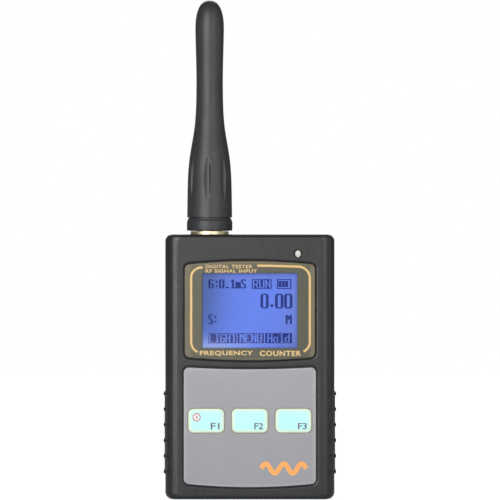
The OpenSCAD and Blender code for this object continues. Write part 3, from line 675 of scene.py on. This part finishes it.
def ribbon(path, width, y, height, closed=False):
    """A raised line along a path of (x, z) points, as (points, faces): a low crowned strip with flat ends."""
    shape = ((-0.5, 0.0), (-0.5, 0.55), (-0.36, 0.9), (0.0, 1.0), (0.36, 0.9), (0.5, 0.55), (0.5, 0.0))
    rings = []
    last = len(path) - 1
    for i, (x, z) in enumerate(path):
        before = i - 1 if closed else max(i - 1, 0)
        after = (i + 1) % len(path) if closed else min(i + 1, last)
        (ax, az), (bx, bz) = path[before], path[after]
        size = math.hypot(bx - ax, bz - az)
        nx, nz = -(bz - az) / size, (bx - ax) / size
        rings.append([(x + nx * width * s, y - height * t, z + nz * width * s) for s, t in shape])
    points, faces = loft(rings, close_ends=not closed)
    if closed:
        count = len(shape)
        first = last * count
        faces += [(first + i, first + (i + 1) % count, (i + 1) % count, i) for i in range(count)]
    return points, faces


def lettering(text, x0, x1, z0, z1, y, raised, bold, spacing, facing=-1):
    """Raised letters that fill a box from x0 to x1 and from z0 to z1, as (points, faces).

    bold widens the strokes, and facing is -1 for letters on the front and 1 for the back.
    """
    curve = bpy.data.curves.new("letters", "FONT")
    curve.body = text
    curve.offset = bold
    curve.space_character = spacing
    curve.resolution_u = 4
    curve.extrude = 0.5
    holder = bpy.data.objects.new("letters", curve)
    bpy.context.scene.collection.objects.link(holder)
    bpy.context.view_layer.update()
    made = bpy.data.meshes.new_from_object(holder.evaluated_get(bpy.context.evaluated_depsgraph_get()))
    co = [v.co.copy() for v in made.vertices]
    faces = [tuple(p.vertices) for p in made.polygons]
    bpy.data.objects.remove(holder)
    bpy.data.curves.remove(curve)
    bpy.data.meshes.remove(made)
    low = Vector((min(c.x for c in co), min(c.y for c in co)))
    high = Vector((max(c.x for c in co), max(c.y for c in co)))
    points = []
    for c in co:
        u = (c.x - low.x) / (high.x - low.x)
        v = (c.y - low.y) / (high.y - low.y)
        x = x0 + (x1 - x0) * (u if facing < 0 else 1 - u)
        points.append((x, y + facing * raised * (c.z + 0.5), z0 + (z1 - z0) * v))
    return points, faces


# ---------- display panel ----------

bezel_low, bezel_high = (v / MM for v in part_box("display_bezel"))
bezel_y = bezel_low.y
bezel_half = (bezel_high.x - bezel_low.x) / 2
display_low, display_high = (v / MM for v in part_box("display_lens"))
OPENING = 0.7  # how far the lens's rim reaches under the panel
half_w = display_high.x - OPENING
low_z, high_z = display_low.z + OPENING, display_high.z - OPENING
display_z = (low_z + high_z) / 2
opening = moved(rounded(half_w, (high_z - low_z) / 2, 0.6, 4, 20), 0, display_z)
BORDER_LEFT, BORDER_RIGHT = -22.15, 22.65  # middle of the gold line's upright stretches
BORDER_BOTTOM, BORDER_TOP = 53.0, 88.3
PANEL_CORNER = 1.9
TINT_SPACING = 0.9


def panel_tint(x, y, z):
    """Olive grey inside the gold line, darker to the right as painted shade, and lighter towards the panel's
    rim.
    """
    inside = min(x - BORDER_LEFT, BORDER_RIGHT - x, (BORDER_TOP - z) * 1.2, (z - BORDER_BOTTOM) * 1.2)
    share = max(0.0, min(1.0, 0.5 - inside / 1.6))
    share = share * share * (3 - 2 * share)
    # painted shade: the olive runs darker from the left side to the right
    left, right = Vector(linear(89, 87, 74)[:3]), Vector(linear(76, 76, 61)[:3])
    olive = left.lerp(right, 0.5 + 0.5 * x / bezel_half)
    return (*olive.lerp(Vector(linear(108, 102, 80)[:3]), share), 1.0)


points, faces = plate(
    arc_loop(bezel_half, bezel_high.z, bezel_low.z, 1.35, 1.15, PANEL_CORNER), [opening],
    [(0.0, bezel_y + 0.3), (0.03, bezel_y + 0.16), (0.12, bezel_y + 0.05), (0.28, bezel_y)],
    bezel_high.y, TINT_SPACING,
)
piece(
    "display_panel", points, faces, "display_panel", "case",
    stands_for=["display_bezel"], tint=panel_tint, weigh=True,
)

left_line = (
    [(-17.8, 87.55)] + corner_arc(-18.35, 83.65, 3.8, 96, 180)
    + [(BORDER_LEFT, 71), (BORDER_LEFT, 60.0)] + corner_arc(-18.0, 59.4, 4.15, 180, 245)
)
right_line = (
    [(2.8, 88.2), (8, 88.13), (13, 87.98)] + corner_arc(18.2, 83.4, 4.45, 88, 0)
    + [(BORDER_RIGHT, 71), (BORDER_RIGHT, 60.0)] + corner_arc(18.4, 59.6, 4.25, 0, -64)
)
print_y = bezel_y + SUNK
# panel_border_shade is painted shade: a wider brown strip under the gold line that darkens along its sides
for name, look, width, height in (
    ("panel_border", "print_gold", 0.82, 0.05),
    ("panel_border_shade", "painted_shade_brown", 1.3, 0.02),
):
    points, faces = joined([ribbon(line, width, print_y, height) for line in (left_line, right_line)])
    piece(name, points, faces, look, "case", slot="print_gold")
for name, words, height, bold, spacing in (
    (
        "panel_title",
        (("FREQUENCY", -18.9, 1.2, 54.1, 56.1), ("COUNTER", 3.7, 19.4, 54.1, 56.1)),
        0.05, 0.035, 1.12,
    ),
    (
        "panel_note",
        (("DIGITAL TESTER", -16.7, 1.0, 87.2, 88.5), ("RF SIGNAL INPUT", -16.7, 2.7, 85.5, 86.8)),
        0.04, 0.02, 1.1,
    ),
):
    points, faces = joined([lettering(*word, print_y, height, bold, spacing) for word in words])
    piece(name, points, faces, "print_gold", "case")

# ---------- what the display shows ----------

glass_y = front_of("lcd_glass")


def glow(x, y, z):
    """The backlight, with painted shade of the panel over its edges: darker along its left side and at its
    corners, and pale along the lower left edge.
    """
    u, v = x / half_w, (z - display_z) / ((high_z - low_z) / 2)
    color = Vector(linear(100, 131, 236)[:3])
    # patches of painted shade of the panel at the left, the top, the right and two corners, and a pale one
    # along the lower left edge
    for (cu, cv), (wide, high), other in (
        ((-1.05, 0.2), (0.5, 1.3), linear(74, 98, 160)),
        ((-1.0, 1.05), (0.5, 0.4), linear(70, 88, 124)),
        ((0.2, 1.1), (1.2, 0.3), linear(106, 126, 208)),
        ((-0.9, -1.1), (0.9, 0.3), linear(160, 178, 232)),
        ((1.05, -1.0), (0.6, 0.5), linear(94, 114, 186)),
        ((1.05, 0.1), (0.35, 1.0), linear(104, 126, 208)),
    ):
        share = math.exp(-(((u - cu) / wide) ** 2 + ((v - cv) / high) ** 2)) * 0.95
        color = color.lerp(Vector(other[:3]), share)
    # painted shade along the field's edges, under the panel's rim
    rim = max(abs(u), abs(v))
    color *= 1 - 0.25 * max(0.0, (rim - 0.965) / 0.035)
    return (*color, 1.0)


field = moved(rounded(half_w + 0.35, (high_z - low_z) / 2 + 0.35, 0.6, 4, 20), 0, display_z)
points, faces = plate(field, [], [(0.0, glass_y - 0.04), (0.03, glass_y - 0.05)], glass_y, spacing=1.0)
piece("lcd_field", points, faces, "lcd_light", "case", tint=glow)

# Dot patterns, row by row from the top
GLYPH_WIDTH, GLYPH_HEIGHT = 7, 11
GLYPHS = {
    "G": ".#####./##...##/##...../##...../##...../##.####/##...##/##...##/##...##/##...##/.#####.",
    ":": "......./......./...##../...##../......./......./......./...##../...##../......./.......",
    "0": ".#####./##...##/##...##/##...##/##...##/##...##/##...##/##...##/##...##/##...##/.#####.",
    ".": "......./......./......./......./......./......./......./......./......./..###../..###..",
    "1": "...##../..###../.####../...##../...##../...##../...##../...##../...##../...##../.######",
    "m": "......./......./......./##.##../#######/##.#.##/##.#.##/##.#.##/##.#.##/##.#.##/##.#.##",
    "S": ".#####./##...##/##...../##...../.##..../..###../....##./.....##/.....##/##...##/.#####.",
    "R": "######./##...##/##...##/##...##/##...##/######./##.##../##..##./##..##./##...##/##...##",
    "U": "##...##/##...##/##...##/##...##/##...##/##...##/##...##/##...##/##...##/##...##/.#####.",
    "N": "##...##/###..##/###..##/####.##/##.#.##/##.#.##/##.####/##..###/##..###/##...##/##...##",
    "M": "##...##/###.###/#######/#######/##.#.##/##.#.##/##...##/##...##/##...##/##...##/##...##",
    "L": "##...../##...../##...../##...../##...../##...../##...../##...../##...../##...../#######",
    "I": ".######/...##../...##../...##../...##../...##../...##../...##../...##../...##../.######",
    "H": "##...##/##...##/##...##/##...##/##...##/#######/##...##/##...##/##...##/##...##/##...##",
    "T": "#######/...##../...##../...##../...##../...##../...##../...##../...##../...##../...##..",
    "E": "#######/##...../##...../##...../##...../#####../##...../##...../##...../##...../#######",
    "o": "......./......./......./......./.#####./##...##/##...##/##...##/##...##/##...##/.#####.",
    "l": "..###../...##../...##../...##../...##../...##../...##../...##../...##../...##../.######",
    "d": ".....##/.....##/.....##/.....##/.######/##...##/##...##/##...##/##...##/##...##/.######",
}


def dots_of(text):
    """The dots of a line of text, as rows of True and False from the top, with a dot between letters."""
    rows = []
    for row in range(GLYPH_HEIGHT):
        dots = ".".join(GLYPHS[letter].split("/")[row].ljust(GLYPH_WIDTH, ".") for letter in text)
        rows.append([dot == "#" for dot in dots])
    return rows


def inverse(rows, side=1):
    """The same dots light on dark, with side dark columns at each end and a dark row above and below."""
    dark = [[True] * (len(rows[0]) + 2 * side)]
    return dark + [[True] * side + [not dot for dot in row] + [True] * side for row in rows] + dark


segments_y = glass_y - 0.05
SEGMENT_THICKNESS = 0.02


def dot_boxes(rows, x0, x1, z0, z1, bold=0.0):
    """One low box for each run of dots in a row, filling the area given. bold is how far runs spread in X."""
    step_x, step_z = (x1 - x0) / len(rows[0]), (z1 - z0) / len(rows)
    parts = []
    for r, row in enumerate(rows):
        top = z1 - r * step_z - step_z * 0.03
        low = top - step_z * 0.94
        at = 0
        while at < len(row):
            if not row[at]:
                at += 1
                continue
            end = at
            while end < len(row) and row[end]:
                end += 1
            a, b = x0 + at * step_x + 0.01 - bold, x0 + end * step_x - 0.01 + bold
            rings = [
                [(a, y, low), (b, y, low), (b, y, top), (a, y, top)]
                for y in (segments_y, segments_y - SEGMENT_THICKNESS)
            ]
            parts.append(loft(rings))
            at = end
    return joined(parts)


full_row = [True] * 17
open_row = [True] + [False] * 15 + [True]
bar_row = [True] + ([False] + [True] * 3) * 3 + [False] * 3 + [True]
battery_icon = [full_row, open_row, *[bar_row] * 7, open_row, full_row]
BOX_ROW = (79.4, 83.1)
DIGIT_ROW = (72.0, 77.6)
MENU_ROW = (58.9, 62.7)
points, faces = joined(
    [
        dot_boxes(dots_of("G:0.1mS"), -15.6, -1.5, 79.6, 83.0, 0.13),
        dot_boxes(inverse(dots_of("RUN")), 0.8, 8.2, *BOX_ROW, 0.06),
        dot_boxes(battery_icon, 10.3, 15.6, *BOX_ROW, 0.1),
        dot_boxes(dots_of("0"), 4.1, 7.0, *DIGIT_ROW, 0.1),
        dot_boxes([[True] * 2] * 2, 7.9, 8.8, 72.6, 73.6, 0.1),
        dot_boxes(dots_of("00"), 9.6, 16.0, *DIGIT_ROW, 0.1),
        dot_boxes(dots_of("S:"), -15.6, -12.3, 66.1, 69.8, 0.13),
        dot_boxes(dots_of("M"), 13.6, 15.8, 66.1, 69.6, 0.08),
        dot_boxes(inverse(dots_of("Hold"), 3), 5.8, 15.9, *MENU_ROW, 0.05),
    ]
)
piece("lcd_characters", points, faces, "lcd_segments", "case")
points, faces = joined(
    [
        dot_boxes(inverse(dots_of("LIGHT")), -15.7, -5.0, *MENU_ROW),
        dot_boxes(inverse(dots_of("MENU"), 3), -4.7, 5.4, *MENU_ROW),
    ]
)
piece("lcd_faded_labels", points, faces, "lcd_faded", "case", slot="lcd_segments")

# ---------- keypad ----------

pad_low, pad_high = (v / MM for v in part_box("keypad_panel"))
pad_y = pad_low.y
pad_half = (pad_high.x - pad_low.x) / 2
PAD_TOP, PAD_FOOT = 49.1, 4.6  # heights of the panel's edges at its middle
PAD_TOP_RISE, PAD_FOOT_RISE = 0.75, 1.35  # how much higher those edges are at its sides
KEY_HALF = (6.85, 4.6)
KEY_ROUND = 2.0
KEY_GAP = 0.08
KEY_EDGE = ((0.0, 0.6), (0.05, 0.4), (0.17, 0.23), (0.34, 0.12), (0.6, 0.06), (0.9, 0.04))  # (inset, depth)
key_boxes = [[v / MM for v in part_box(f"key_f{i}")] for i in (1, 2, 3)]
key_spots = [((low.x + high.x) / 2, (low.z + high.z) / 2) for low, high in key_boxes]


def pad_tint(x, y, z):
    """Cool grey, a little darker towards the foot as painted shade, with a painted highlight along its rolled
    rim.
    """
    top = PAD_TOP + PAD_TOP_RISE * (x / pad_half) ** 2
    foot = PAD_FOOT + PAD_FOOT_RISE * (x / pad_half) ** 2
    inside = min(pad_half - abs(x), top - z, z - foot)
    # painted highlight: lighter within 0.9 mm of the rim
    share = max(0.0, min(1.0, 1 - inside / 0.9))
    # painted shade: darker from the top down to the foot
    low, high = Vector(linear(150, 149, 155)[:3]), Vector(linear(157, 156, 161)[:3])
    grey = low.lerp(high, (z - foot) / (top - foot))
    return (*grey.lerp(Vector(linear(176, 175, 179)[:3]), share), 1.0)


hole = rounded(KEY_HALF[0] + KEY_GAP, KEY_HALF[1] + KEY_GAP, KEY_ROUND + KEY_GAP)
points, faces = plate(
    arc_loop(pad_half, PAD_TOP, pad_low.z, -PAD_TOP_RISE, PAD_FOOT_RISE, PANEL_CORNER),
    [moved(hole, x, z) for x, z in key_spots],
    [(0.0, pad_y + 0.2), (0.02, pad_y + 0.12), (0.1, pad_y + 0.05), (0.25, pad_y + 0.01), (0.42, pad_y)],
    pad_high.y, TINT_SPACING,
)
piece(
    "keypad_sheet", points, faces, "keypad_grey", "case",
    stands_for=["keypad_panel"], tint=pad_tint, weigh=True,
)
points, faces = ribbon(wave(4.3, 11.65, 17.0, 1.8, 2.5, 120), 1.8, pad_y + SUNK, 0.05)
piece("keypad_wave_mark", points, faces, "print_orange", "case")


def key_tint(centre_x, centre_z):
    """Clear cyan in the middle of a key, and a cream rim."""

    def tint(x, y, z):
        away_x, away_z = abs(x - centre_x), abs(z - centre_z)
        inside = min(KEY_HALF[0] - away_x, KEY_HALF[1] - away_z)
        corner = math.hypot(
            max(0.0, away_x - KEY_HALF[0] + KEY_ROUND), max(0.0, away_z - KEY_HALF[1] + KEY_ROUND)
        )
        if corner > 0:
            inside = min(inside, KEY_ROUND - corner)
        share = max(0.0, min(1.0, (1.3 - inside) / 1.0))
        cyan, cream = linear(190, 245, 242), linear(226, 234, 206)
        return (*[a + (b - a) * share for a, b in zip(cyan[:3], cream[:3])], 1.0)

    return tint


cap = rounded(*KEY_HALF, KEY_ROUND)
cap_flat = inset(cap, KEY_EDGE[-1][0])
for number, ((low, high), (x, z)) in enumerate(zip(key_boxes, key_spots), start=1):
    flange_back, flange_front, face = high.y, high.y - 0.8, low.y
    body = f"key_f{number}_body"
    flange = moved(rounded((high.x - low.x) / 2, (high.z - low.z) / 2, 0.6), x, z)
    rings = [[(px, y, pz) for px, pz in flange] for y in (flange_back, flange_front)]
    for depth, y in ((0.0, flange_front - 0.01), *[(depth, face + back) for depth, back in KEY_EDGE]):
        rings.append([(px, y, pz) for px, pz in moved(inset(cap, depth), x, z)])
    for share in (0.85, 0.7, 0.5, 0.3, 0.1):
        rings.append([(x + px * share, face + 0.04 * share, z + pz * share) for px, pz in cap_flat])
    points, faces = loft(rings)
    piece(
        f"key_cap_f{number}", points, faces, "key_cyan", body,
        stands_for=[f"key_f{number}"], tint=key_tint(x, z),
    )
    text = lettering(f"F{number}", x + 1.7, x + 5.0, z - 3.25, z - 0.85, face + 0.05, 0.045, 0.01, 0.95)
    piece(f"key_label_f{number}", *text, "print_dark", body)

icon_x, icon_z = key_spots[0][0] - 3.6, key_spots[0][1] + 1.3
icon_y = key_boxes[0][0].y + 0.05
circle = [(math.cos(math.radians(a)), math.sin(math.radians(a))) for a in range(0, 360, 9)]
disc = [[(icon_x + 1.3 * c, y, icon_z + 1.3 * s) for c, s in circle] for y in (icon_y, icon_y - 0.03)]
piece("power_icon_field", *loft(disc), "print_white", "key_f1_body", slot="led_white")
ring_path = [(icon_x + 1.35 * c, icon_z + 1.35 * s) for c, s in circle]
stroke_path = [(icon_x, icon_z - 0.62), (icon_x, icon_z), (icon_x, icon_z + 0.62)]
points, faces = joined(
    [
        ribbon(ring_path, 0.38, icon_y, 0.04, closed=True),
        ribbon(stroke_path, 0.42, icon_y - 0.025, 0.02),
        ribbon([(icon_x - 0.32, icon_z + 0.42), (icon_x, icon_z + 0.62)], 0.3, icon_y - 0.025, 0.018),
    ]
)
piece("power_icon", points, faces, "print_red", "key_f1_body")

# ---------- indicator ----------

led_low, led_high = (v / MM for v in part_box("indicator_led"))
led_x, led_z = (led_low.x + led_high.x) / 2, (led_low.z + led_high.z) / 2
face_y = front_of("front_cover")
LEG_HALF = 0.25
LEG_SPREAD = 0.635  # from the indicator's axis to the middle of a leg
DOME_RADIUS = 1.48

holder = [
    (1.8, face_y + 5), (1.8, face_y + 4), (1.5, face_y + 4), (1.5, face_y + 0.7), (1.4, face_y + 0.6),
    (1.1, face_y + 0.75), (0.6, face_y + 0.95),
]
points, faces = joined(
    [
        loft(turned(holder, led_x, led_z)),
        *[
            square_bar(led_x + side * LEG_SPREAD, led_z, LEG_HALF, face_y + 4.9, face_y + 7.8)
            for side in (-1, 1)
        ],
    ]
)
piece(
    "indicator_holder", points, faces, "led_holder", "case",
    slot="switch_plastic", stands_for=["indicator_led"],
)
angles = [math.radians(a) for a in range(-20, 90, 10)]
dome = [(DOME_RADIUS * math.cos(a), face_y + 0.85 - 0.7 * math.sin(a)) for a in angles]
piece("indicator_lens", *loft(turned(dome, led_x + 0.05, led_z, 0.78)), "led_white", "case")

# ---------- rating label ----------

label_low, label_high = (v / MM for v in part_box("rating_label"))
label_y = label_high.y
label_mid = (label_low.z + label_high.z) / 2
label_half = ((label_high.x - label_low.x) / 2, (label_high.z - label_low.z) / 2)
LINE_INSET = 1.2
loop = moved(rounded(*label_half, 1.0, 6, 10), 0, label_mid)
points, faces = plate(loop, [], [(0.0, label_y - 0.06), (0.03, label_y - 0.02), (0.1, label_y)], label_low.y)
piece("rating_plate", points, faces, "label_silver", "case", stands_for=["rating_label"], weigh=True)


def on_back(part):
    """A raised line made for the front, turned to face +Y on the label."""
    points, faces = part
    return [(px, 2 * label_y - py, pz) for px, py, pz in points], faces


line = moved(rounded(label_half[0] - LINE_INSET, label_half[1] - LINE_INSET, 0.6, 6, 10), 0, label_mid)
label_print_y = label_y - SUNK
points, faces = joined(
    [
        on_back(ribbon(line, 0.3, label_print_y, 0.03, closed=True)),
        on_back(ribbon(wave(-12.5, label_mid + 3.3, 9, 1.3, 2, 40), 0.5, label_print_y, 0.03)),
        *[
            lettering(text, -16.2, end, label_mid + low, label_mid + high, label_print_y, 0.03, 0.01, 1.05, 1)
            for text, end, low, high in (("RF SIGNAL INPUT", 1.5, -1.2, 0.8), ("DC 5 V", -7.0, -4.9, -2.9))
        ],
    ]
)
piece("rating_print", points, faces, "print_dark", "case")

# ---------- stage, light and camera, in metres ----------

FLOOR_RADIUS = 1.6
FLOOR_DROP = 0.0002
SKY_LIGHT = 0.13  # the sky's strength as a light; the camera sees it at 1
work = bmesh.new()
bmesh.ops.create_circle(work, cap_ends=True, segments=128, radius=FLOOR_RADIUS)
floor_mesh = bpy.data.meshes.new("floor")
work.to_mesh(floor_mesh)
work.free()
floor_look = Look(
    "floor_pale", base_color=(0.9, 0.9, 0.9, 1), roughness=0.8, emission_color=(1, 1, 1, 1),
    emission_strength=0.0,
)
camera_sees = floor_look.node("ShaderNodeLightPath").outputs["Is Camera Ray"]
floor_look.link(floor_look.spread(camera_sees, 0.0, 0.75, (0, 1)), "Emission Strength")
floor_mesh.materials.append(floor_look.material)
floor = bpy.data.objects.new("floor", floor_mesh)
floor.location.z = -FLOOR_DROP
bpy.context.scene.collection.objects.link(floor)
floor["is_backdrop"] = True

world = bpy.data.worlds.new("studio")
bpy.context.scene.world = world
world.use_nodes = True
sky = world.node_tree.nodes["Background"]
seen = world.node_tree.nodes.new("ShaderNodeLightPath").outputs["Is Camera Ray"]
level = world.node_tree.nodes.new("ShaderNodeMapRange")
level.inputs["To Min"].default_value = SKY_LIGHT
level.inputs["To Max"].default_value = 1.0
world.node_tree.links.new(seen, level.inputs["Value"])
world.node_tree.links.new(level.outputs["Result"], sky.inputs["Strength"])
sky.inputs["Color"].default_value = (1, 1, 1, 1)

TARGET = Vector((0.0, 0.0, 0.08))


def softbox(name, azimuth, elevation, distance, width, height, brightness):
    """A rectangular light round the object. Angles are in degrees, and brightness is its radiance."""
    a, e = math.radians(azimuth), math.radians(elevation)
    out = Vector((math.sin(a) * math.cos(e), -math.cos(a) * math.cos(e), math.sin(e)))
    lamp = bpy.data.lights.new(name, "AREA")
    lamp.shape, lamp.size, lamp.size_y = "RECTANGLE", width, height
    lamp.energy = brightness * math.pi * width * height
    holder = bpy.data.objects.new(name, lamp)
    bpy.context.scene.collection.objects.link(holder)
    holder.location = TARGET + out * distance
    holder.rotation_mode = "QUATERNION"
    holder.rotation_quaternion = (-out).to_track_quat("-Z", "Y")


for light in (
    ("left_strip", -16, 5, 1.3, 0.18, 1.3, 11.0),
    ("left_box", -37, 5, 1.3, 0.38, 1.3, 6.2),
    ("front_fill", 0, 5, 1.3, 0.54, 1.3, 1.0),
    ("right_strip", 24, 5, 1.3, 0.18, 1.3, 4.4),
    ("right_box", 41, 5, 1.3, 0.56, 1.3, 1.7),
    ("right_side", 80, 5, 1.3, 0.2, 1.3, 1.6),
    ("back_box", 180, 40, 1.6, 1.2, 0.9, 1.6),
):
    softbox(*light)

CAMERA_DISTANCE = 1.5  # from the plane where the frame is VIEW_WIDTH wide
VIEW_WIDTH = 0.1892
VIEW_PLANE_Y = -0.008
VIEW_X, VIEW_Z = 0.00005, 0.0941
SENSOR_WIDTH = 36
lens_data = bpy.data.cameras.new("camera")
lens_data.sensor_width = SENSOR_WIDTH
lens_data.lens = SENSOR_WIDTH * CAMERA_DISTANCE / VIEW_WIDTH
lens_data.clip_start, lens_data.clip_end = 0.05, 20
camera = bpy.data.objects.new("camera", lens_data)
camera.location = (VIEW_X, VIEW_PLANE_Y - CAMERA_DISTANCE, VIEW_Z)
camera.rotation_euler = (math.pi / 2, 0, 0)
bpy.context.scene.collection.objects.link(camera)
bpy.context.scene.camera = camera
bpy.context.scene.view_settings.view_transform = "Standard"

bpy.context.view_layer.update()
low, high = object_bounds()
{"cad": [list(cad_low), list(cad_high)], "visual": [list(low), list(high)]}
